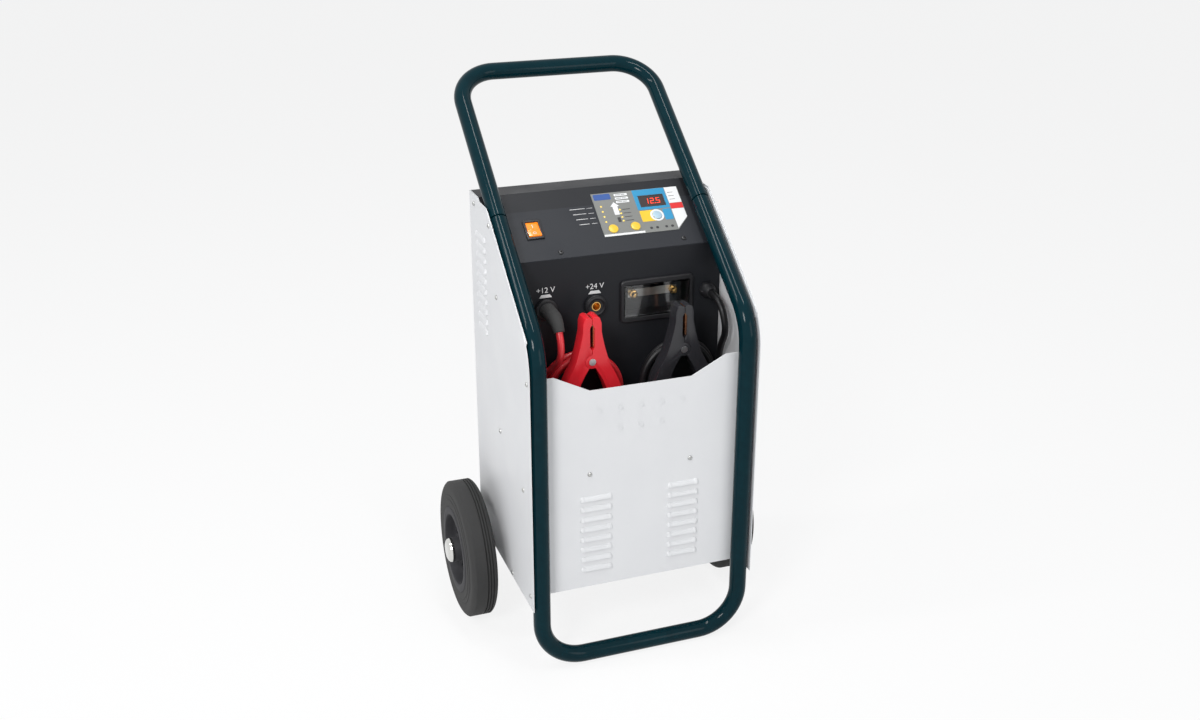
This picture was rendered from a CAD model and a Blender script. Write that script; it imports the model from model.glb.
"""A wheeled workshop battery charger, dressed for its portrait.

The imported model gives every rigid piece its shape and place. This script gives each of them its
finish, rounds the moulded ones, winds the two leads as soft cords and adds the printed control
face, the lit digits, the screws and the markings. Lengths are millimetres in the frame that the
part's source uses: X across, Y back from the legs, Z up from the floor. Only the lamps and the
spans of a finish are given in metres, and the relief of a finish in micrometres.
"""
import logging
import math
from collections.abc import Callable
from dataclasses import dataclass
from enum import Enum

import bmesh
import bpy
from mathutils import Matrix, Vector

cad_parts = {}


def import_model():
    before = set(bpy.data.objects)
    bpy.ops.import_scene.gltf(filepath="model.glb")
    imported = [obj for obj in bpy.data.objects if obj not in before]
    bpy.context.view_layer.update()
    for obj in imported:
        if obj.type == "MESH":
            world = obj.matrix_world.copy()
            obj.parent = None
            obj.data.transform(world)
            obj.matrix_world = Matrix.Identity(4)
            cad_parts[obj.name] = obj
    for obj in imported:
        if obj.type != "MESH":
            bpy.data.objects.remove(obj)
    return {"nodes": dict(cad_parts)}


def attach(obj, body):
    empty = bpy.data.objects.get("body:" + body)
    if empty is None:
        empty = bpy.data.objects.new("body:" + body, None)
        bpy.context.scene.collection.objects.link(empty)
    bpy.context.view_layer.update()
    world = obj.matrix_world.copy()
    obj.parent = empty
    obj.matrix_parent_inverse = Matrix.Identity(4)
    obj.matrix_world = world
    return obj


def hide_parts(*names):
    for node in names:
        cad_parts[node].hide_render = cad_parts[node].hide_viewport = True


LOG = logging.getLogger("charger")

Colour = tuple[float, float, float]
Spot = tuple[float, float, float]
Pair = tuple[float, float]
Pairs = tuple[Pair, ...]
Outline = list[Pair]
Inputs = dict[str | int, object]
Facing = list[tuple[Vector, Vector]]
Placer = Callable[[float, float, float], Vector]
Work = bmesh.types.BMesh
Thing = bpy.types.Object
Tree = bpy.types.NodeTree
Socket = bpy.types.NodeSocket

CASE = "charger_case"
BACK_SHIFT = 235.85
SLOPE = math.radians(53.4)
SLOPE_SINE = math.sin(SLOPE)
SLOPE_COSINE = math.cos(SLOPE)
OUTWARD = Vector((0, -SLOPE_COSINE, SLOPE_SINE))
ELBOW_HEIGHT = 596.0
PANEL_FACE = 155.0
COVER_OUT = -18.0
SMOOTH_BELOW = math.radians(35)
ROUNDED_PAST = math.radians(38)
FLAT_WITHIN = math.radians(0.6)
MERGED_WITHIN = 2e-6
MICROMETRE = 1e-6


def to_frame(across: float, back: float, up: float) -> Vector:
    """Give a point of the part's source, in millimetres, as a point of the frame in metres."""
    return Vector((across, back - BACK_SHIFT, up)) / 1000


def on_slope(across: float, along: float, out: float) -> Vector:
    """Give a point of the sloped face as a point of the frame.

    Args:
        across: distance to the object's right of its middle.
        along: distance up the slope from the elbows.
        out: distance square to the slope, up and forwards.

    Returns:
        The point in metres.
    """
    back = along * SLOPE_SINE - out * SLOPE_COSINE
    up = ELBOW_HEIGHT + along * SLOPE_COSINE + out * SLOPE_SINE
    return to_frame(across, back, up)


def on_panel(across: float, up: float, out: float) -> Vector:
    """Give a point of the upright socket panel; out is the distance in front of it."""
    return to_frame(across, PANEL_FACE - out, up)


def give(tree: Tree, node: bpy.types.Node, inputs: Inputs) -> None:
    """Give some of a node's inputs a value, or the output of another node."""
    for place, value in inputs.items():
        if isinstance(value, Socket):
            tree.links.new(value, node.inputs[place])
        else:
            node.inputs[place].default_value = value


def put(tree: Tree, kind: str, inputs: Inputs | None = None, **settings: str) -> bpy.types.Node:
    """Add a node to a tree.

    Args:
        tree: the tree that it goes into.
        kind: the node's type.
        inputs: a value, or the output of another node, for each input that is given one.
        settings: the node's own settings.

    Returns:
        The node.
    """
    node = tree.nodes.new(kind)
    for name, value in settings.items():
        setattr(node, name, value)
    give(tree, node, inputs or {})
    return node


def reckon(tree: Tree, operation: str, *values: Socket | float) -> Socket:
    """Add one step of arithmetic to a tree, and give its result."""
    return put(tree, "ShaderNodeMath", dict(enumerate(values)), operation=operation).outputs[0]


def blend(tree: Tree, share: Socket, under: Socket | Colour, over: Socket | Colour) -> Socket:
    """Blend one colour over another by a share, and give the result."""
    low, high = [(*layer, 1.0) if isinstance(layer, tuple) else layer for layer in (under, over)]
    return put(tree, "ShaderNodeMix", {0: share, 6: low, 7: high}, data_type="RGBA").outputs[2]


class Pattern(Enum):
    """How the fine structure of a finish lies on the piece; bands name their direction."""

    GRAIN = "grain"
    CELLS = "cells"
    BANDS_X = "X"
    BANDS_Z = "Z"


@dataclass(frozen=True)
class Finish:
    """One finish, as a painter or moulder would describe it.

    A field, where there is one, is printed over the paint between two heights and to the right of
    one line, and the sheet's sides, past a distance from the middle, have a colour of their own.
    """

    name: str
    colour: Colour
    tint: Colour
    rough: Pair = (0.35, 0.5)
    metal: float = 0.0
    coat: float = 0.0
    grain: float = 900.0
    patches: float = 14.0
    stretch: Spot = (1.0, 1.0, 1.0)
    relief: float = 30.0
    pattern: Pattern = Pattern.GRAIN
    glow: float = 0.0
    clear: float = 0.0
    sheen: float = 0.0
    gloss: float = 0.5
    field: Colour | None = None
    field_span: tuple[float, float, float] = (0.0, 0.0, 0.0)
    sides: Colour = (0.74, 0.75, 0.76)
    sides_past: float = 0.1992

    def material(self) -> bpy.types.Material:
        """Make this finish as a procedural material.

        Returns:
            The material, made once and then reused.
        """
        found = bpy.data.materials.get(self.name)
        if found:
            return found
        material = bpy.data.materials.new(self.name)
        material.use_nodes = True
        tree = material.node_tree
        shader = tree.nodes["Principled BSDF"]
        place = put(tree, "ShaderNodeTexCoord").outputs["Object"]
        turned = put(tree, "ShaderNodeMapping", {"Scale": self.stretch, "Vector": place})
        fine = self._structure(tree, turned.outputs["Vector"])
        patches = {"Scale": self.patches, "Detail": 5.0, "Vector": place}
        broad = put(tree, "ShaderNodeTexNoise", patches).outputs["Fac"]
        rough = put(tree, "ShaderNodeMapRange", {
            "Value": broad, "From Min": 0.3, "From Max": 0.7, "To Min": self.rough[0],
            "To Max": self.rough[1]})
        paint = self._paint(tree, fine, broad)
        give(tree, shader, {
            "Base Color": self._printed(tree, place, paint) if self.field else paint,
            "Roughness": rough.outputs["Result"], "Metallic": self.metal,
            "Specular IOR Level": self.gloss, "Coat Weight": self.coat, "Coat Roughness": 0.06,
            "Sheen Weight": self.sheen, "Transmission Weight": self.clear})
        if self.glow:
            give(tree, shader, {"Emission Color": paint, "Emission Strength": self.glow})
        if self.relief:
            depth = self.relief * MICROMETRE
            bump = put(tree, "ShaderNodeBump", {"Strength": 1.0, "Distance": depth, "Height": fine})
            give(tree, shader, {"Normal": bump.outputs["Normal"]})
        return material

    def _structure(self, tree: Tree, place: Socket) -> Socket:
        """Add the fine structure, and give its height."""
        inputs = {"Vector": place, "Scale": self.grain}
        if self.pattern is Pattern.CELLS:
            return put(tree, "ShaderNodeTexVoronoi", inputs).outputs["Distance"]
        if self.pattern is Pattern.GRAIN:
            return put(tree, "ShaderNodeTexNoise", {**inputs, "Detail": 4.0}).outputs["Fac"]
        return put(tree, "ShaderNodeTexWave", {**inputs, "Distortion": 0.6},
                   bands_direction=self.pattern.value).outputs["Fac"]

    def _paint(self, tree: Tree, fine: Socket, broad: Socket) -> Socket:
        """Blend the two colours of the finish by its fine structure and its broad patches."""
        share = reckon(tree, "MULTIPLY", fine, broad)
        spread = put(tree, "ShaderNodeMapRange", {"Value": share, "From Min": 0.12, "From Max": 0.42})
        return blend(tree, spread.outputs["Result"], self.colour, self.tint)

    def _printed(self, tree: Tree, place: Socket, paint: Socket) -> Socket:
        """Print the field over the paint, and give the sides their colour."""
        parts = put(tree, "ShaderNodeSeparateXYZ", {0: place}).outputs
        low, high, left = self.field_span
        between = reckon(tree, "MULTIPLY", reckon(tree, "GREATER_THAN", parts["Z"], low),
                         reckon(tree, "LESS_THAN", parts["Z"], high))
        inside = reckon(tree, "MULTIPLY", between, reckon(tree, "GREATER_THAN", parts["X"], left))
        apart = reckon(tree, "ABSOLUTE", parts["X"])
        beyond = reckon(tree, "GREATER_THAN", apart, self.sides_past)
        return blend(tree, beyond, blend(tree, inside, paint, self.field), self.sides)


def film(name: str, colour: Colour, tint: Colour) -> Finish:
    """Give the finish of the printed film in one of its colours."""
    return Finish(name, colour, tint, (0.35, 0.45), grain=1400)


ENAMEL = Finish(
    "green_black_enamel", (0.0004, 0.017, 0.024), (0.0008, 0.022, 0.03), (0.06, 0.1), gloss=0.1,
    grain=90, relief=8)
POWDER = Finish(
    "light_grey_powder_coat", (0.745, 0.75, 0.76), (0.715, 0.72, 0.735), (0.42, 0.52), grain=1500,
    relief=25)
BLACK_SHEET = Finish(
    "black_printed_sheet", (0.01, 0.011, 0.014), (0.014, 0.015, 0.018), (0.4, 0.55), gloss=0.22,
    grain=1900, relief=20)
COVER_SHEET = Finish(
    "printed_cover_sheet", (0.011, 0.012, 0.015), (0.016, 0.017, 0.02), (0.4, 0.55), gloss=0.22,
    grain=1900, relief=20, field=(0.021, 0.023, 0.028), field_span=(0.66, 0.751, -0.168))
ZINC = Finish(
    "zinc_plated_steel", (0.45, 0.46, 0.46), (0.58, 0.58, 0.56), (0.3, 0.42), metal=1.0, grain=260,
    relief=10)
DARK_SCREW = Finish(
    "blackened_screw", (0.03, 0.03, 0.032), (0.05, 0.05, 0.052), (0.3, 0.42), metal=0.6, grain=260,
    relief=10)
STEEL = Finish(
    "drawn_steel", (0.5, 0.5, 0.51), (0.6, 0.6, 0.6), (0.22, 0.34), metal=1.0, grain=500,
    stretch=(0.05, 1.0, 1.0), relief=10)
TYRE = Finish(
    "tyre_rubber", (0.018, 0.018, 0.021), (0.027, 0.027, 0.03), (0.6, 0.78), gloss=0.3, grain=700,
    relief=90, sheen=0.05)
RIM = Finish(
    "rim_plastic", (0.012, 0.012, 0.013), (0.02, 0.02, 0.021), (0.38, 0.5), grain=1200, relief=40)
CHROME = Finish(
    "polished_cap", (0.62, 0.62, 0.6), (0.7, 0.7, 0.68), (0.06, 0.14), metal=1.0, grain=90, relief=5)
BUSH = Finish("bush_nylon", (0.72, 0.7, 0.64), (0.78, 0.76, 0.7), (0.45, 0.6), grain=900)
CORE = Finish(
    "core_laminations", (0.1, 0.1, 0.11), (0.24, 0.23, 0.22), (0.4, 0.6), metal=0.9, grain=160,
    relief=200, pattern=Pattern.BANDS_X)
WINDING = Finish(
    "enamelled_winding", (0.35, 0.13, 0.04), (0.6, 0.28, 0.12), (0.25, 0.4), metal=0.8, grain=110,
    relief=600, pattern=Pattern.BANDS_Z)
EXTRUSION = Finish(
    "extruded_aluminium", (0.62, 0.63, 0.65), (0.72, 0.73, 0.74), (0.3, 0.42), metal=1.0, grain=700,
    stretch=(1.0, 1.0, 0.03), relief=20)
FAN = Finish("fan_plastic", (0.015, 0.015, 0.016), (0.024, 0.024, 0.025), (0.45, 0.6), grain=1000)
BOARD = Finish(
    "board_laminate", (0.01, 0.11, 0.04), (0.03, 0.2, 0.07), (0.3, 0.45), grain=240, relief=60,
    pattern=Pattern.CELLS)
SMOKED = Finish("smoked_display", (0.014, 0.004, 0.005), (0.022, 0.007, 0.008), (0.08, 0.14), coat=0.5)
FILM_GREY = film("film_grey", (0.18, 0.185, 0.175), (0.2, 0.205, 0.195))
FILM_BLUE = film("film_blue", (0.012, 0.24, 0.46), (0.02, 0.27, 0.5))
FILM_NAVY = film("film_navy", (0.012, 0.06, 0.25), (0.02, 0.08, 0.3))
FILM_WHITE = film("film_white", (0.74, 0.75, 0.76), (0.79, 0.8, 0.8))
FILM_RED = film("film_red", (0.62, 0.01, 0.015), (0.7, 0.02, 0.02))
FILM_YELLOW = film("film_yellow", (0.8, 0.5, 0.02), (0.85, 0.56, 0.04))
FILM_BLACK = film("film_black", (0.015, 0.015, 0.017), (0.022, 0.022, 0.024))
KEY_YELLOW = Finish("yellow_key", (0.78, 0.5, 0.03), (0.85, 0.58, 0.06), (0.3, 0.42), grain=1300)
KEY_BLUE = Finish("pale_key", (0.35, 0.5, 0.6), (0.42, 0.56, 0.66), (0.3, 0.42), grain=1300)
AMBER = Finish(
    "lit_amber_rocker", (0.9, 0.2, 0.008), (0.95, 0.28, 0.02), (0.18, 0.3), coat=0.3, grain=500,
    glow=0.45)
LAMP_RED = Finish("lit_red_segment", (0.95, 0.03, 0.01), (1.0, 0.07, 0.02), (0.3, 0.4), glow=1.2)
LAMP_YELLOW = Finish("lit_yellow_lamp", (0.9, 0.62, 0.1), (0.95, 0.7, 0.15), (0.3, 0.4), glow=0.4)
BLACK_MOULDED = Finish(
    "black_moulded_plastic", (0.012, 0.012, 0.014), (0.018, 0.018, 0.02), (0.36, 0.52), gloss=0.3,
    grain=1300, relief=40)
BRASS = Finish(
    "turned_brass", (0.62, 0.36, 0.1), (0.72, 0.48, 0.2), (0.16, 0.3), metal=1.0, grain=600, relief=10)
FUSE_METAL = Finish(
    "fuse_strip_metal", (0.5, 0.48, 0.44), (0.6, 0.58, 0.53), (0.25, 0.4), metal=1.0, grain=500)
PLUG_RUBBER = Finish(
    "plug_rubber", (0.009, 0.009, 0.01), (0.015, 0.015, 0.016), (0.4, 0.56), gloss=0.28, grain=800,
    relief=60)
RED_SHEATH = Finish(
    "red_cable_sheath", (0.62, 0.012, 0.022), (0.7, 0.03, 0.04), (0.28, 0.42), coat=0.15, grain=500,
    relief=40)
BLACK_SHEATH = Finish(
    "black_cable_sheath", (0.006, 0.006, 0.007), (0.011, 0.011, 0.012), (0.32, 0.44), gloss=0.3,
    grain=500, relief=40)
RED_CLAMP = Finish(
    "red_clamp_plastic", (0.66, 0.012, 0.026), (0.72, 0.02, 0.036), (0.25, 0.38), coat=0.2, grain=800,
    relief=50)
BLACK_CLAMP = Finish(
    "black_clamp_plastic", (0.009, 0.009, 0.011), (0.015, 0.015, 0.017), (0.32, 0.45), gloss=0.28,
    grain=800, relief=50)
COPPER = Finish(
    "pressed_copper", (0.6, 0.25, 0.12), (0.68, 0.34, 0.18), (0.22, 0.4), metal=1.0, grain=300)
CLEAR = Finish(
    "clear_pane", (0.9, 0.92, 0.94), (0.95, 0.96, 0.97), (0.01, 0.03), gloss=0.25, grain=60, relief=0,
    clear=1.0)
PRINT_WHITE = Finish(
    "white_print", (0.7, 0.7, 0.7), (0.78, 0.78, 0.78), (0.4, 0.5), grain=1400, relief=0)

NODE_FINISHES: dict[str, Finish] = {node: finish for finish, nodes in (
    (ENAMEL, "lower_frame_tube upper_handle_tube"),
    (POWDER, "left_side_panel right_side_panel front_panel rear_panel base_plate"),
    (BLACK_SHEET, "storage_tray socket_panel"), (COVER_SHEET, "control_cover"),
    (ZINC, "case_screws axle_brackets axle_washers rectifier_diodes"),
    (STEEL, "wheel_axle clamp_pins clamp_springs"), (TYRE, "left_tyre right_tyre"),
    (RIM, "left_rim right_rim"), (CHROME, "left_hub_cap right_hub_cap"),
    (BUSH, "left_wheel_bushes right_wheel_bushes"), (CORE, "transformer_core"),
    (WINDING, "transformer_windings"), (EXTRUSION, "heat_sink"), (FAN, "fan_housing fan_rotor"),
    (BOARD, "circuit_board"), (SMOKED, "display_module"), (FILM_GREY, "control_overlay"),
    (KEY_YELLOW, "charge_button mode_button"), (KEY_BLUE, "voltage_button"), (AMBER, "rocker_paddle"),
    (BLACK_MOULDED, "rocker_bezel socket_12v socket_24v fuse_housing cable_glands"),
    (BRASS, "socket_inserts plug_pin fuse_studs"), (PLUG_RUBBER, "plug_sleeve plug_boot"),
    (CLEAR, "fuse_window"), (FUSE_METAL, "fuse_strip"), (RED_SHEATH, "red_cable red_cable_coil"),
    (BLACK_SHEATH, "black_cable black_cable_coil"), (RED_CLAMP, "red_fixed_arm red_moving_arm"),
    (BLACK_CLAMP, "black_fixed_arm black_moving_arm"),
    (COPPER, "fixed_jaws red_moving_jaw black_moving_jaw"),
) for node in nodes.split()}


def stand(name: str, data: bpy.types.ID) -> Thing:
    """Put an object into the scene around its mesh, curve, lamp or camera."""
    made = bpy.data.objects.new(name, data)
    bpy.context.scene.collection.objects.link(made)
    return made


def mesh_of(name: str, work: Work) -> bpy.types.Mesh:
    """Turn a worked mesh into a plain one, and free it."""
    mesh = bpy.data.meshes.new(name)
    work.to_mesh(mesh)
    work.free()
    return mesh


def final_mesh(source: Thing) -> bpy.types.Mesh:
    """Give the final shape of an object as a plain mesh, and remove the object."""
    view = bpy.context.evaluated_depsgraph_get()
    mesh = bpy.data.meshes.new_from_object(source.evaluated_get(view))
    bpy.data.objects.remove(source)
    return mesh


def piece_from(name: str, work: Work, finish: Finish, body: str) -> Thing:
    """Turn a worked mesh into a piece that rides on a body.

    Args:
        name: the piece's name.
        work: the worked mesh, in the frame's metres. It is freed.
        finish: what it is made of.
        body: the body that it rides on.

    Returns:
        The piece.
    """
    mesh = mesh_of(name, work)
    mesh.polygons.foreach_set("use_smooth", [True] * len(mesh.polygons))
    mesh.set_sharp_from_angle(angle=SMOOTH_BELOW)
    piece = stand(name, mesh)
    mesh.materials.append(finish.material())
    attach(piece, body)
    LOG.info("%s: %d faces on %s", name, len(mesh.polygons), body)
    return piece


def skin(work: Work, loops: list[list[bmesh.types.BMVert]], closed: bool = True) -> None:
    """Join each loop of corners to the next one.

    Args:
        work: the mesh that holds them.
        loops: the loops, all with as many corners.
        closed: whether the last loop is joined to the first one.
    """
    following = loops[1:] + loops[:1] if closed else loops[1:]
    for here, after in zip(loops, following):
        for index in range(len(here)):
            other = (index + 1) % len(here)
            work.faces.new((here[index], after[index], after[other], here[other]))


def circle(steps: int) -> Outline:
    """Give the corners of a circle of radius 1 around the origin."""
    turns = [math.tau * step / steps for step in range(steps)]
    return [(math.cos(turn), math.sin(turn)) for turn in turns]


def disc(x: float, y: float, radius: float, steps: int) -> Outline:
    """Give the outline of a round plate."""
    return [(x + radius * cosine, y + radius * sine) for cosine, sine in circle(steps)]


def box(left: float, low: float, right: float, high: float) -> Outline:
    """Give the outline of a rectangle, counter-clockwise."""
    return [(left, low), (right, low), (right, high), (left, high)]


def rounded(left: float, low: float, right: float, high: float, radius: float, steps: int = 5) -> Outline:
    """Give the outline of a rectangle with rounded corners.

    Args:
        left: its left edge.
        low: its lower edge.
        right: its right edge.
        high: its upper edge.
        radius: the radius of its corners.
        steps: the chords in each corner.

    Returns:
        The corners, counter-clockwise.
    """
    corners = []
    centres = ((right - radius, low + radius, -90), (right - radius, high - radius, 0),
               (left + radius, high - radius, 90), (left + radius, low + radius, 180))
    for x, y, start in centres:
        for step in range(steps + 1):
            turn = math.radians(start + 90 * step / steps)
            corners.append((x + radius * math.cos(turn), y + radius * math.sin(turn)))
    return corners


def add_plate(work: Work, corners: Outline, low: float, high: float, place: Placer = on_slope) -> None:
    """Add a flat plate with an outline on the slope or on the socket panel.

    Args:
        work: the mesh that it goes into.
        corners: the outline, counter-clockwise as seen from the front.
        low: how far out its underside is.
        high: how far out its face is.
        place: what turns (across, along, out) into the frame.
    """
    under = [work.verts.new(place(x, y, low)) for x, y in corners]
    over = [work.verts.new(place(x, y, high)) for x, y in corners]
    work.faces.new(over)
    work.faces.new(under[::-1])
    skin(work, [over, under], closed=False)


def add_ring(work: Work, centre: Pair, radii: Pair, low: float, high: float,
             place: Placer = on_slope, steps: int = 40) -> None:
    """Add a flat ring with a domed face.

    Args:
        work: the mesh that it goes into.
        centre: its middle on the face.
        radii: its inner and outer radius.
        low: how far out its underside is.
        high: how far out its crown is.
        place: what turns (across, along, out) into the frame.
        steps: the chords around it.
    """
    inner, outer = radii
    middle = (low + high) / 2
    section = [(inner, low), (outer, low), (outer, middle), ((inner + outer) / 2, high), (inner, middle)]
    skin(work, [[work.verts.new(place(centre[0] + radius * cosine, centre[1] + radius * sine, out))
                 for radius, out in section] for cosine, sine in circle(steps)])


def eased(node: str, width: float, finish: Finish, body: str, segments: int = 3) -> None:
    """Round the edges of a moulded or folded piece, which then stands for its node.

    Args:
        node: the node whose shape is taken.
        width: how wide its edges are rounded, in millimetres.
        finish: what it is made of.
        body: the body that it rides on.
        segments: the facets across each rounded edge.
    """
    work = bmesh.new()
    work.from_mesh(FRAME["nodes"][node].data)
    bmesh.ops.remove_doubles(work, verts=work.verts, dist=MERGED_WITHIN)
    bmesh.ops.dissolve_limit(work, angle_limit=FLAT_WITHIN, verts=work.verts, edges=work.edges)
    source = stand(f"{node}_rough", mesh_of(f"{node}_eased", work))
    bevel = source.modifiers.new("edges", "BEVEL")
    bevel.width = width / 1000
    bevel.segments = segments
    bevel.limit_method = "ANGLE"
    bevel.angle_limit = ROUNDED_PAST
    work = bmesh.new()
    work.from_mesh(final_mesh(source))
    piece = piece_from(f"{node}_eased", work, finish, body)
    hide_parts(node)


@dataclass
class Studio:
    """The camera, the lamps, which face the middle of the object, and the pale floor."""

    eye: Spot = (-773.96, -1916.92, 1411.01)
    azimuth: float = 19.937
    elevation: float = 22.518
    focal_pixels: float = 1374.5
    picture_width: float = 1200.0
    sensor_width: float = 36.0
    sees_to: float = 60.0
    lamps: tuple[tuple[str, Spot, Pair, float], ...] = (
        ("key_lamp", (-2.1, -2.4, 2.6), (0.9, 0.9), 70.0),
        ("fill_lamp", (1.6, -2.9, 1.4), (1.4, 1.4), 14.0),
        ("top_strip", (0.1, -0.5, 3.3), (0.3, 1.8), 34.0),
        ("left_strip", (-2.1, 0.1, 2.9), (0.3, 1.8), 24.0))
    lit_middle: Spot = (0.0, 0.0, 0.45)
    room_light: float = 0.3
    room_colour: Colour = (0.93, 0.96, 1.0)
    floor_colour: Colour = (0.86, 0.86, 0.86)
    floor_rough: float = 0.8
    floor_glow: float = 0.84
    floor_reach: float = 14.0

    def build(self) -> None:
        """Set up the whole studio."""
        self._camera()
        for lamp in self.lamps:
            self._lamp(*lamp)
        self._world()
        self._floor()
        bpy.context.scene.view_settings.view_transform = "Standard"

    def _camera(self) -> None:
        """Stand the camera where the picture was taken from."""
        data = bpy.data.cameras.new("camera")
        data.sensor_width = self.sensor_width
        data.lens = self.focal_pixels * self.sensor_width / self.picture_width
        data.clip_end = self.sees_to
        camera = stand("camera", data)
        camera.location = to_frame(*self.eye)
        camera.rotation_euler = (math.radians(90 - self.elevation), 0.0, math.radians(-self.azimuth))
        bpy.context.scene.camera = camera

    def _lamp(self, name: str, place: Spot, size: Pair, power: float) -> None:
        """Hang one soft lamp."""
        data = bpy.data.lights.new(name, "AREA")
        data.shape = "RECTANGLE"
        data.size, data.size_y = size
        data.energy = power
        lamp = stand(name, data)
        lamp.location = place
        lamp.rotation_euler = (Vector(self.lit_middle) - Vector(place)).to_track_quat("-Z", "Y").to_euler()

    def _world(self) -> None:
        """Give the room its soft light, and show it white to the eye and in gloss."""
        world = bpy.data.worlds.new("room")
        bpy.context.scene.world = world
        world.use_nodes = True
        tree = world.node_tree
        light = tree.nodes["Background"]
        give(tree, light, {"Strength": self.room_light, "Color": (*self.room_colour, 1.0)})
        white = put(tree, "ShaderNodeBackground", {"Color": (1.0, 1.0, 1.0, 1.0)})
        mix = put(tree, "ShaderNodeMixShader", {
            0: self._seen(tree), 1: light.outputs[0], 2: white.outputs[0]})
        give(tree, tree.nodes["World Output"], {"Surface": mix.outputs[0]})

    def _seen(self, tree: Tree) -> Socket:
        """Tell a node tree whether the eye sees it, straight, in gloss or through glass."""
        path = put(tree, "ShaderNodeLightPath").outputs
        straight_or_gloss = reckon(tree, "MAXIMUM", path["Is Camera Ray"], path["Is Glossy Ray"])
        return reckon(tree, "MAXIMUM", straight_or_gloss, path["Is Transmission Ray"])

    def _floor(self) -> None:
        """Lay the pale floor, which keeps the object's soft shadow."""
        mesh = bpy.data.meshes.new("floor")
        reach = self.floor_reach
        mesh.from_pydata([(x, y, 0) for x, y in box(-reach, -reach, reach, reach)], [], [(0, 1, 2, 3)])
        floor = stand("floor", mesh)
        material = bpy.data.materials.new("pale_floor")
        material.use_nodes = True
        tree = material.node_tree
        paint = tree.nodes["Principled BSDF"]
        give(tree, paint, {"Base Color": (*self.floor_colour, 1.0), "Roughness": self.floor_rough})
        glow = put(tree, "ShaderNodeEmission")
        share = reckon(tree, "MULTIPLY", self._seen(tree), self.floor_glow)
        mix = put(tree, "ShaderNodeMixShader", {0: share, 1: paint.outputs[0], 2: glow.outputs[0]})
        give(tree, tree.nodes["Material Output"], {"Surface": mix.outputs[0]})
        mesh.materials.append(material)


@dataclass
class Lead:
    """One battery lead: down from its exit, round its coil in the pocket, and up to its clamp."""

    name: str
    side: int
    coil_middle: float
    start: Spot
    feed: tuple[Spot, ...]
    tail: tuple[Spot, ...]
    handle: Spot
    length: float
    finish: Finish
    slot: str
    nodes: tuple[str, ...]
    radius: float = 6.0
    upper: float = 456.0
    lower: float = 425.4
    end_run: float = 12.0
    turn_step: float = 15.0
    loops: Pairs = (
        (-76, 125), (69, 125), (-62, 125), (54, 125), (-54, 140), (62, 140), (-69, 140))

    def _boot(self) -> Thing:
        """Taper a ribbed boot over the lead below the clamp's handle."""
        across, back, up = self.handle
        bore, foot, top, pitch = self.radius + 0.15, -17.5, -0.2, 3.4
        section = [(bore, foot)]
        section += [(self.radius + 1.0 + 0.28 * rib + rise, foot + pitch * rib + shift)
                    for rib in range(5) for rise, shift in ((0.0, 0.3), (0.9, 1.0), (0.9, 2.3), (0.0, 3.0))]
        section += [(self.radius + 2.2, top), (bore, top)]
        work = bmesh.new()
        skin(work, [[work.verts.new(to_frame(across + reach * cosine, back + reach * sine, up + high))
                     for reach, high in section] for cosine, sine in circle(28)])
        return piece_from(f"{self.name}_boot", work, PLUG_RUBBER, CASE)

    def _coil(self) -> list[Spot]:
        """Give the coil's points: half turns below and above by turns, and the last one a quarter."""
        first_across, first_deep = self.loops[0]
        points = [(first_across, first_deep, self.upper + self.end_run)]
        for number, (start, after) in enumerate(zip(self.loops, self.loops[1:])):
            below = number % 2 == 0
            level = self.lower if below else self.upper
            points += self._turn(start, after, level, -1 if below else 1, 180)
        centre = (self.loops[-3][0] + self.loops[-2][0]) / 2
        last_across, last_deep = self.loops[-1]
        round_back = (2 * centre - last_across, last_deep)
        points += self._turn(self.loops[-1], round_back, self.lower, -1, 90)
        points.append((centre + self.end_run, last_deep, self.lower - (centre - last_across)))
        return [(self.coil_middle + self.side * across, deep, up) for across, deep, up in points]

    def _turn(self, start: Pair, after: Pair, level: float, way: int, angle: int) -> list[Spot]:
        """Give the points of one turn between two straight runs, starting below or above them."""
        centre = (start[0] + after[0]) / 2
        radius = (start[0] - after[0]) / 2
        count = int(angle / self.turn_step)
        points = []
        for step in range(count + 1):
            turn = math.radians(step * self.turn_step)
            share = (1 - math.cos(turn)) / 2
            points.append((centre + radius * math.cos(turn), start[1] + (after[1] - start[1]) * share,
                           level + way * abs(radius) * math.sin(turn)))
        return points

    def build(self) -> None:
        """Make the lead as one smooth cord."""
        data = bpy.data.curves.new(self.name, "CURVE")
        data.dimensions = "3D"
        data.bevel_depth = self.radius / 1000
        data.bevel_resolution = 5
        data.use_fill_caps = True
        data.resolution_u = 4
        spline = data.splines.new("NURBS")
        route = (self.start, *self.feed, *self._coil(), *self.tail, self.handle)
        points = [to_frame(*point) for point in route]
        spline.points.add(len(points) - 1)
        for control, point in zip(spline.points, points):
            control.co = (*point, 1.0)
        spline.order_u = 3
        spline.use_endpoint_u = True
        cord = stand(self.name, data)
        data.materials.append(self.finish.material())
        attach(cord, CASE)
        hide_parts(*self.nodes)
        self._boot()
        LOG.info("%s: %d control points", self.name, len(points))


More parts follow.
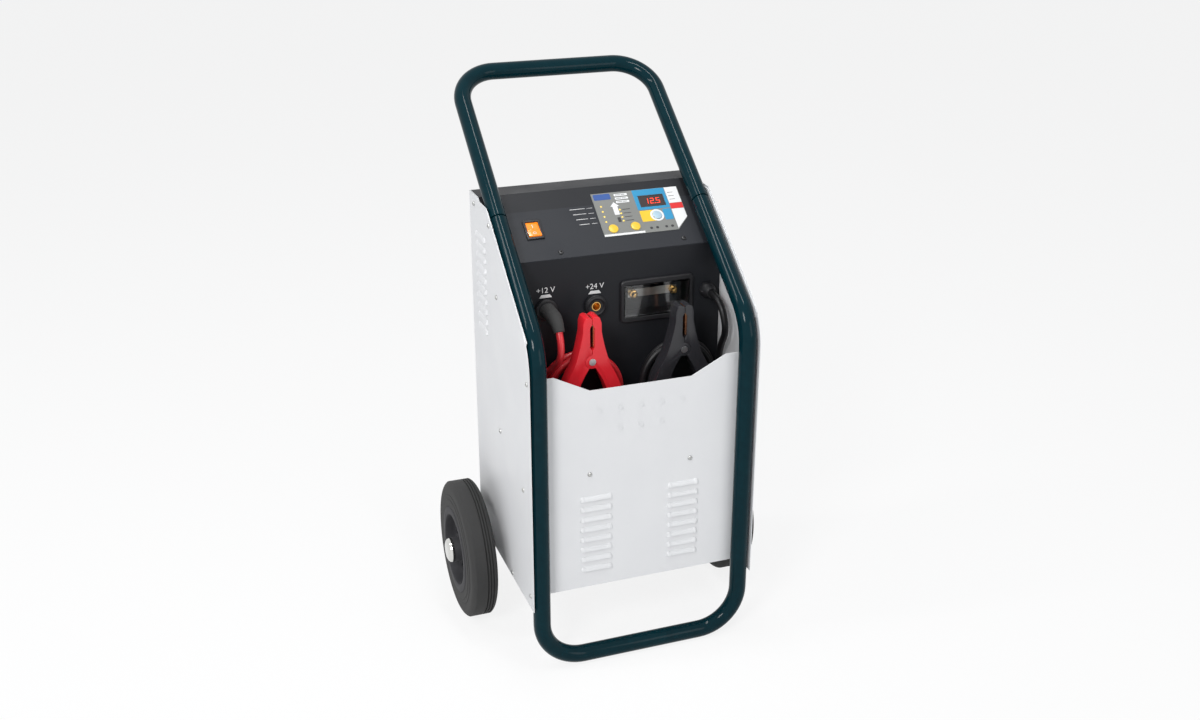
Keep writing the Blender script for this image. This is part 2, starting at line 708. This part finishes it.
RED_LEAD = Lead(
    "red_lead", 1, -65.0, (-119.5, 83.987, 587.4),
    ((-119.5, 71.5, 565.7), (-122, 73.5, 540.8), (-128, 91, 521.5), (-135, 114, 506.5), (-141, 125, 488)),
    ((-28, 140, 352.9), (-9.5, 128.5, 353.7), (-1.5, 109, 361), (-5.5, 91.5, 377.5), (-17, 88, 399)),
    (-17, 88, 419), 1.80, RED_SHEATH, "red_cable_rubber", ("red_cable", "red_cable_coil"))
BLACK_LEAD = Lead(
    "black_lead", -1, 114.0, (176, 138, 604),
    ((176, 114, 604), (177.5, 93.6, 591.3), (180, 83, 567.5), (183.5, 88.4, 542.1), (187.5, 110.5, 517.6),
     (190, 125, 491)),
    ((72, 140, 352.9), (51, 129, 353.6), (40, 110, 361), (43, 92, 378), (53, 88, 399)),
    (53, 88, 419), 1.845, BLACK_SHEATH, "black_cable_rubber", ("black_cable", "black_cable_coil"))


class Repeater:
    """Sets one small template on many spots with a node tree, and gives back a plain mesh."""

    def __init__(self, name: str, finish: Finish) -> None:
        """Build the tree: an instance of the template on each spot, turned to face out.

        Args:
            name: the name of the tree.
            finish: what the copies are made of.
        """
        self.finish = finish
        self.tree = tree = bpy.data.node_groups.new(name, "GeometryNodeTree")
        face = tree.interface
        face.new_socket("Spots", in_out="INPUT", socket_type="NodeSocketGeometry")
        self.template_socket = face.new_socket("Template", in_out="INPUT", socket_type="NodeSocketObject")
        face.new_socket("Geometry", in_out="OUTPUT", socket_type="NodeSocketGeometry")
        given = put(tree, "NodeGroupInput").outputs
        template = put(tree, "GeometryNodeObjectInfo", {"Object": given["Template"]})
        facing = put(tree, "GeometryNodeInputNamedAttribute", {"Name": "facing"}, data_type="FLOAT_VECTOR")
        turn = put(tree, "FunctionNodeAlignRotationToVector", {"Vector": facing.outputs["Attribute"]},
                   axis="Z")
        copies = put(tree, "GeometryNodeInstanceOnPoints", {
            "Points": given["Spots"], "Instance": template.outputs["Geometry"],
            "Rotation": turn.outputs["Rotation"]})
        real = put(tree, "GeometryNodeRealizeInstances", {"Geometry": copies.outputs["Instances"]})
        painted = put(tree, "GeometryNodeSetMaterial", {
            "Geometry": real.outputs["Geometry"], "Material": finish.material()})
        put(tree, "NodeGroupOutput", {"Geometry": painted.outputs["Geometry"]})

    def place(self, name: str, template: Thing, spots: Facing, body: str, slot: str) -> Thing:
        """Set the template on every spot.

        Args:
            name: the piece's name.
            template: the shape that is repeated, with its foot at its origin and its face up.
            spots: each spot and the way that it faces.
            body: the body that the piece rides on.
            slot: the record's material slot.

        Returns:
            The piece, as a plain mesh.
        """
        mesh = bpy.data.meshes.new(f"{name}_spots")
        mesh.from_pydata([tuple(spot) for spot, _ in spots], [], [])
        facing = mesh.attributes.new("facing", "FLOAT_VECTOR", "POINT")
        facing.data.foreach_set("vector", [value for _, way in spots for value in way])
        carrier = stand(f"{name}_carrier", mesh)
        modifier = carrier.modifiers.new("repeat", "NODES")
        modifier.node_group = self.tree
        modifier[self.template_socket.identifier] = template
        work = bmesh.new()
        work.from_mesh(final_mesh(carrier))
        return piece_from(name, work, self.finish, body)


def lathe(name: str, section: Outline, steps: int) -> Thing:
    """Turn a section of (radius, height) about Z into a closed template.

    Args:
        name: the template's name.
        section: from the middle of its foot, outwards, and back to the middle of its top.
        steps: the chords around it.

    Returns:
        The template, which is removed once it has been repeated.
    """
    work = bmesh.new()
    rings = []
    for radius, height in section:
        around = circle(steps) if radius else [(0.0, 0.0)]
        rings.append([work.verts.new((radius / 1000 * cosine, radius / 1000 * sine, height / 1000))
                      for cosine, sine in around])
    for ring, after in zip(rings, rings[1:]):
        for step in range(steps):
            other = (step + 1) % steps
            corners = (ring[step % len(ring)], ring[other % len(ring)], after[other % len(after)],
                       after[step % len(after)])
            work.faces.new(list(dict.fromkeys(corners)))
    bmesh.ops.recalc_face_normals(work, faces=work.faces)
    return stand(name, mesh_of(name, work))


@dataclass
class CaseHardware:
    """The screws that show on the outside of the case."""

    head_radius: float = 4.2
    head_high: float = 2.3
    side_face: float = 202.0
    front_face: float = 16.0
    rear_face: float = 318.5
    side_spots: Pairs = (
        (200.7, 745), (0, 541), (2, 149), (290.9, 759), (165, 631.4), (165, 385.5), (32.8, 336.3),
        (111.5, 132), (300, 132))
    front_spots: Pairs = ((-91, 354), (91, 354))
    rear_spots: Pairs = ((-185, 735), (185, 735), (-185, 160), (185, 160))
    cover_spots: Pairs = ((-88.1, 193.3), (135.5, 194.9))

    def spots(self) -> Facing:
        """Give each screw's place and the way that its head faces."""
        found = []
        for side in (-1, 1):
            way = Vector((side, 0, 0))
            found += [(to_frame(side * self.side_face, back, up), way) for back, up in self.side_spots]
        for face, way, spots in ((self.front_face, Vector((0, -1, 0)), self.front_spots),
                                 (self.rear_face, Vector((0, 1, 0)), self.rear_spots)):
            found += [(to_frame(across, face, up), way) for across, up in spots]
        return found

    def on_cover(self) -> Facing:
        """Give the same for the blackened screws of the cover."""
        return [(on_slope(across, along, COVER_OUT), OUTWARD) for across, along in self.cover_spots]

    def build(self) -> None:
        """Set a domed head with a socket on every screw."""
        radius, high = self.head_radius, self.head_high
        head = lathe("screw_head_template", [
            (0, 0.02), (radius, 0.02), (radius, high * 0.35), (radius * 0.9, high * 0.72),
            (radius * 0.66, high), (radius * 0.42, high), (radius * 0.4, high * 0.35),
            (0, high * 0.35)], 18)
        on_case, on_cover = Repeater("screws_on_spots", ZINC), Repeater("screws_on_cover", DARK_SCREW)
        piece = on_case.place("screw_heads", head, self.spots(), CASE, "screw_zinc")
        on_cover.place("cover_screw_heads", head, self.on_cover(), CASE, "black_sheet")
        bpy.data.objects.remove(head)
        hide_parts("case_screws")


@dataclass
class ControlFace:
    """The printed film, the lit digits, the lamps and the rocker's marks."""

    film_out: float = COVER_OUT + 0.8
    print_high: float = 0.18
    line_high: float = 0.1
    ring_high: float = 0.35
    frame_high: float = 0.5
    display_out: float = -17.3
    window: tuple[float, float, float, float] = (80.5, 269.4, 124.8, 291.6)
    lip: float = 1.4
    digit_foot: float = 274.4
    blue_key: Pair = (103.0, 248.7)
    yellow_keys: Pairs = ((16.4, 229.3), (57.3, 230.0))
    rocker: Pair = (-122.75, 245.0)
    rocker_half: float = 17.0
    standing_rise: float = 3.9
    lying_rise: float = 0.7

    def build(self) -> None:
        """Dress the whole control face."""
        self._print_fields()
        self._digits()
        self._lamps()
        self._rocker_marks()
        self._surround()

    def _fields(self, name: str, finish: Finish, outlines: list[Outline], low: float = 0.0,
                high: float = print_high) -> None:
        """Lay fields of one colour on the film, from one height over it to another."""
        work = bmesh.new()
        for outline in outlines:
            add_plate(work, outline, self.film_out + low, self.film_out + high)
        piece_from(name, work, finish, CASE)

    def _print_fields(self) -> None:
        """Print the coloured fields and their small marks."""
        self._fields("print_white", FILM_WHITE, [
            box(-3, 214.5, 71, 218.5), [(133, 216.5), (156.3, 239.5), (156.3, 258.5), (133, 258.5)],
            box(133, 271.5, 156.3, 306),
            [(28, 258), (37, 258), (37, 276), (40.5, 276), (32.5, 285), (24.5, 276), (28, 276)],
            *[rounded(37.5, up, 62, up + 4.6, 1.6) for up in (282.5, 290, 297.5)]])
        self._fields("print_blue", FILM_BLUE, [
            box(72, 262.5, 132, 268), box(72, 293, 132, 306), box(72, 268, 79.1, 293),
            box(126.2, 268, 132, 293), rounded(115.6, 237, 131.5, 260.5, 2.0)])
        self._fields("print_yellow", FILM_YELLOW, [rounded(73, 237, 101, 260.5, 2.0)])
        self._fields("print_navy", FILM_NAVY, [rounded(-0.5, 292, 30.5, 304.5, 2.0)])
        self._fields("print_red", FILM_RED, [box(133, 259, 156.3, 271)])
        marks = [box(across, up, across + wide, up + 0.9)
                 for up in (284.4, 291.9, 299.4) for across, wide in ((40, 9), (50.5, 7))]
        marks += [box(136, up, 146, up + 0.8) for up in (279, 286.5, 294)]
        marks += [rounded(30, 242, 35.5, 252, 1.2)]
        marks += [rounded(x, 220.5, x + 5, 225, 1.8) for x in (82, 93, 110, 121)]
        marks += [box(44, up, 58, up + 0.9) for up in (243.5, 251.5, 259.5, 267.5)]
        self._fields("print_marks", FILM_BLACK, marks, self.print_high, 2 * self.print_high)
        self._guide_lines()
        work = bmesh.new()
        add_ring(work, self.blue_key, (9.0, 12.4), self.film_out, self.film_out + self.frame_high)
        piece_from("voltage_key_ring", work, FILM_WHITE, CASE)
        work = bmesh.new()
        for key in self.yellow_keys:
            add_ring(work, key, (9.0, 10.4), self.film_out, self.film_out + self.ring_high)
        piece_from("yellow_key_rings", work, FILM_GREY, CASE)

    def _guide_lines(self) -> None:
        """Print the thin lines that lead to the lamps from the left."""
        work = bmesh.new()
        for start, along in ((-40, 245), (-43, 256), (-46, 267), (-49, 278)):
            for outline in (box(start, along, -22, along + 0.9), box(-18, along, -8, along + 0.6)):
                add_plate(work, outline, COVER_OUT, COVER_OUT + self.line_high)
        piece_from("guide_lines", work, PRINT_WHITE, CASE)

    def _digits(self) -> None:
        """Light three seven-segment digits and one point in the display window."""
        low, high = self.display_out - 0.05, self.display_out + 0.15
        wide, tall, thick, lean, inset = 7.2, 12.0, 1.5, 0.09, 0.25
        half = tall / 2
        bars = {
            "a": (0, tall - thick, wide, tall), "g": (0, half - thick / 2, wide, half + thick / 2),
            "d": (0, 0, wide, thick), "f": (0, half, thick, tall), "b": (wide - thick, half, wide, tall),
            "e": (0, 0, thick, half), "c": (wide - thick, 0, wide, half)}
        work = bmesh.new()
        for across, lit in ((88.5, "bc"), (99.0, "abged"), (110.0, "afgcd")):
            for letter in lit:
                left, base, right, top = bars[letter]
                bar = [(across + x + lean * y, self.digit_foot + y) for x, y in
                       box(left + inset, base + inset, right - inset, top - inset)]
                add_plate(work, bar, low, high)
        add_plate(work, disc(108.2, self.digit_foot + 0.8, 0.9, 12), low, high)
        piece_from("display_digits", work, LAMP_RED, CASE)

    def _lamps(self) -> None:
        """Set the small domed lamps beside the printed fields."""
        dome = lathe("lamp_template", [(0, 0), (1.7, 0), (1.7, 0.3), (1.3, 0.8), (0.7, 1.05), (0, 1.1)], 14)
        left = [(8.0, along) for along in (245, 256, 267, 278)]
        middle = [(39.5, along) for along in (243.9, 251.9, 259.9, 267.9)]
        spots = [(on_slope(*place, self.film_out), OUTWARD) for place in left + middle]
        Repeater("lamps_on_spots", LAMP_YELLOW).place("status_lamps", dome, spots, CASE, "overlay_print")
        bpy.data.objects.remove(dome)

    def _on_paddle(self, rise: float) -> Placer:
        """Give what places a point on a half of the paddle, which rises so far from its end."""
        along = self.rocker[1]
        return lambda x, y, out: on_slope(x, along + y, COVER_OUT + 1.0 - y * rise / self.rocker_half + out)

    def _rocker_marks(self) -> None:
        """Print the ring on the lower half, which stands up, and the bar on the one that lies in."""
        work = bmesh.new()
        across, high = self.rocker[0], 0.15
        add_ring(work, (across, -8.0), (2.0, 2.9), 0.0, high, self._on_paddle(self.standing_rise), 24)
        bar = box(across - 0.5, 4.5, across + 0.5, 11)
        add_plate(work, bar, 0.0, high, self._on_paddle(self.lying_rise))
        piece_from("rocker_marks", work, PRINT_WHITE, "rocker")

    def _surround(self) -> None:
        """Frame the display window with a raised dark lip."""
        left, low, right, high = self.window
        lip = self.lip
        bars = [box(left - lip, low - lip, right + lip, low),
                box(left - lip, high, right + lip, high + lip),
                box(left - lip, low, left, high), box(right, low, right + lip, high)]
        self._fields("display_frame", FILM_BLACK, bars, high=self.frame_high)


@dataclass
class SocketDetails:
    """What sits on the upright panel around its sockets and its fuse window.

    The bezel's profile has a half width, a half height, a corner radius and a distance out for
    each of its loops, from the inside of its front edge around to the inside of its rear edge.
    """

    fuse: Pair = (81.0, 599.8)
    bezel: tuple[tuple[float, float, float, float], ...] = (
        (60.5, 29.5, 3.0, 5.2), (61.2, 30.2, 3.6, 5.9), (65.6, 36.4, 6.6, 5.9), (67.3, 38.1, 8.0, 4.4),
        (67.5, 38.3, 8.2, 0.1), (60.5, 29.5, 3.0, 0.1))
    sockets: tuple[tuple[float, float, str], ...] = ((-119.5, 603.4, "+12 V"), (-32.0, 600.3, "+24 V"))
    tab: Pairs = ((-11.5, 20.5), (11.5, 20.5), (7.5, 26), (-7.5, 26))
    collar_radii: Pair = (12.5, 17.5)
    collar_out: Pair = (7.9, 10.4)
    caption_up: float = 29.5
    caption_size: float = 13.5
    print_high: float = 0.2

    def build(self) -> None:
        """Dress the socket panel."""
        self._tabs()
        self._collar()
        self._bezel()
        self._captions()

    def _tabs(self) -> None:
        """Print the white tab above each socket."""
        work = bmesh.new()
        for across, up, _ in self.sockets:
            add_plate(work, [(across + x, up + z) for x, z in self.tab], 0.0, self.print_high, on_panel)
        piece_from("socket_tabs", work, PRINT_WHITE, CASE)

    def _collar(self) -> None:
        """Raise a rounded collar on the free socket's flange."""
        work = bmesh.new()
        add_ring(work, self.sockets[1][:2], self.collar_radii, *self.collar_out, on_panel, 48)
        piece_from("free_socket_collar", work, BLACK_MOULDED, CASE)

    def _bezel(self) -> None:
        """Frame the fuse window with a rounded bezel."""
        across, up = self.fuse
        work = bmesh.new()
        skin(work, [[work.verts.new(on_panel(x, z, out)) for x, z in
                     rounded(across - wide, up - tall, across + wide, up + tall, radius)]
                    for wide, tall, radius, out in self.bezel])
        bmesh.ops.recalc_face_normals(work, faces=work.faces)
        piece_from("fuse_bezel", work, BLACK_MOULDED, CASE)

    def _captions(self) -> None:
        """Print each socket's voltage above its tab."""
        work = bmesh.new()
        upright = Matrix.Rotation(math.radians(90), 4, "X")
        for across, up, words in self.sockets:
            data = bpy.data.curves.new("caption", "FONT")
            data.body = words
            data.size = self.caption_size / 1000
            data.align_x = "CENTER"
            data.extrude = self.print_high / 2000
            mesh = final_mesh(stand("caption", data))
            middle = on_panel(across, up + self.caption_up, self.print_high / 2)
            mesh.transform(Matrix.Translation(middle) @ upright)
            work.from_mesh(mesh)
        piece_from("socket_captions", work, PRINT_WHITE, CASE)


@dataclass
class Clamps:
    """The two battery clamps: rounded arms, grips and the springs on their pins."""

    pins: Pair = (-65.0, 101.0)
    arm_edge: float = 2.6
    pivot_up: float = 531.0
    middle_back: float = 88.0
    wire: float = 0.85
    spring_radius: float = 6.6
    spring_half: float = 6.0
    turns: int = 5
    chords: int = 20

    def build(self) -> None:
        """Dress both clamps."""
        for arm in ("fixed", "moving"):
            for colour, finish in (("red", RED_CLAMP), ("black", BLACK_CLAMP)):
                body = CASE if arm == "fixed" else f"{colour}_clamp_lever"
                eased(f"{colour}_{arm}_arm", self.arm_edge, finish, body)
        self._springs()

    def _springs(self) -> None:
        """Wind each pin's spring from round wire."""
        work = bmesh.new()
        count = self.turns * self.chords
        for across in self.pins:
            loops = []
            for step in range(count + 1):
                turn = math.tau * step / self.chords
                back = self.middle_back - self.spring_half + 2 * self.spring_half * step / count
                radial = Vector((math.cos(turn), 0, math.sin(turn)))
                middle = to_frame(across, back, self.pivot_up) + radial * self.spring_radius / 1000
                offsets = [radial * cosine + Vector((0, 1, 0)) * sine for cosine, sine in circle(10)]
                loops.append([work.verts.new(middle + offset * self.wire / 1000) for offset in offsets])
            skin(work, loops, closed=False)
            work.faces.new(loops[0])
            work.faces.new(loops[-1][::-1])
        bmesh.ops.recalc_face_normals(work, faces=work.faces)
        piece = piece_from("pin_springs", work, STEEL, CASE)
        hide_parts("clamp_springs")


class EasedPieces:
    """The moulded pieces whose edges are rounded."""

    PIECES: tuple[tuple[str, float, str, str], ...] = (
        ("rocker_bezel", 0.7, CASE, "black_plastic"),
        ("rocker_paddle", 0.5, "rocker", "rocker_orange"),
        ("charge_button", 0.8, "charge_key", "button_yellow"),
        ("mode_button", 0.8, "mode_key", "button_yellow"),
        ("voltage_button", 0.8, "voltage_key", "button_blue"),
        ("fuse_housing", 1.2, CASE, "black_plastic"),
        ("socket_24v", 1.0, CASE, "black_plastic"),
        ("socket_12v", 1.0, CASE, "black_plastic"),
        ("plug_sleeve", 0.8, CASE, "plug_rubber"),
        ("cable_glands", 0.6, CASE, "black_plastic"),
        ("fuse_studs", 0.4, CASE, "brass_contact"),
        ("left_rim", 0.8, "left_wheel", "rim_plastic"),
        ("right_rim", 0.8, "right_wheel", "rim_plastic"),
    )

    def build(self) -> None:
        """Round the edges of each piece."""
        for node, width, body, slot in self.PIECES:
            eased(node, width, NODE_FINISHES[node], body, 2)


def dress_nodes() -> None:
    """Give every carried-over node its own finish."""
    for name, node in FRAME["nodes"].items():
        node.data.materials.clear()
        node.data.materials.append(NODE_FINISHES[name].material())


def main() -> None:
    """Build the portrait, from the studio inwards."""
    logging.basicConfig(level=logging.INFO, format="%(name)s %(message)s")
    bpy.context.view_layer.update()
    Studio().build()
    dress_nodes()
    RED_LEAD.build()
    BLACK_LEAD.build()
    CaseHardware().build()
    ControlFace().build()
    SocketDetails().build()
    Clamps().build()
    EasedPieces().build()


if __name__ == "__main__":
    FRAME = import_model()
    main()
